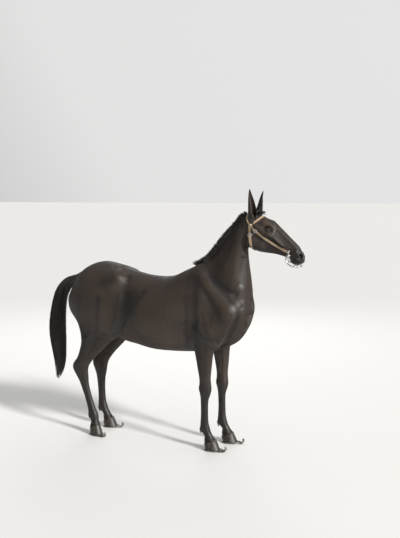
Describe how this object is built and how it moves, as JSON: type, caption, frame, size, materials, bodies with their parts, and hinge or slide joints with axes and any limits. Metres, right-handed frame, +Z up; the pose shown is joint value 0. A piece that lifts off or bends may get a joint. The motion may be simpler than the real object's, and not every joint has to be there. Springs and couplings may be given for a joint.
{
  "type": "live mule",
  "caption": "Life-size still model of a dark riding mule standing square, head up, hogged mane, full tail, light bridle with curb bit, and long curled shoes.",
  "frame": {"origin": "on the ground, under the middle of the animal's bounding box", "axes": "+X towards the head, +Y towards the animal's left side, +Z up"},
  "size_m": [2.2508, 0.5316, 2.0234],
  "materials": {
    "coat": "short dark brown coat",
    "tail_hair": "long black hair",
    "eye": "wet dark eye",
    "hoof": "dark horn",
    "shoe": "worn forged iron",
    "strap": "light natural leather",
    "bit": "used steel"
  },
  "bodies": {
    "root": {"torso": "coat", "neck": "coat", "head": "coat", "tail": "tail_hair", "foreleg_right": "coat", "foreleg_left": "coat", "hindleg_right": "coat", "hindleg_left": "coat", "ear_right": "coat", "ear_left": "coat", "eye_right": "eye", "eye_left": "eye", "fore_hoof_right": "hoof", "fore_hoof_left": "hoof", "hind_hoof_right": "hoof", "hind_hoof_left": "hoof", "fore_shoe_right": "shoe", "fore_shoe_left": "shoe", "hind_shoe_right": "shoe", "hind_shoe_left": "shoe", "crown_strap": "strap", "browband": "strap", "cheek_strap_right": "strap", "cheek_strap_left": "strap", "throat_strap": "strap", "bit_cheek_right": "bit", "bit_cheek_left": "bit", "curb_chain": "bit"}
  },
  "joints": []
}
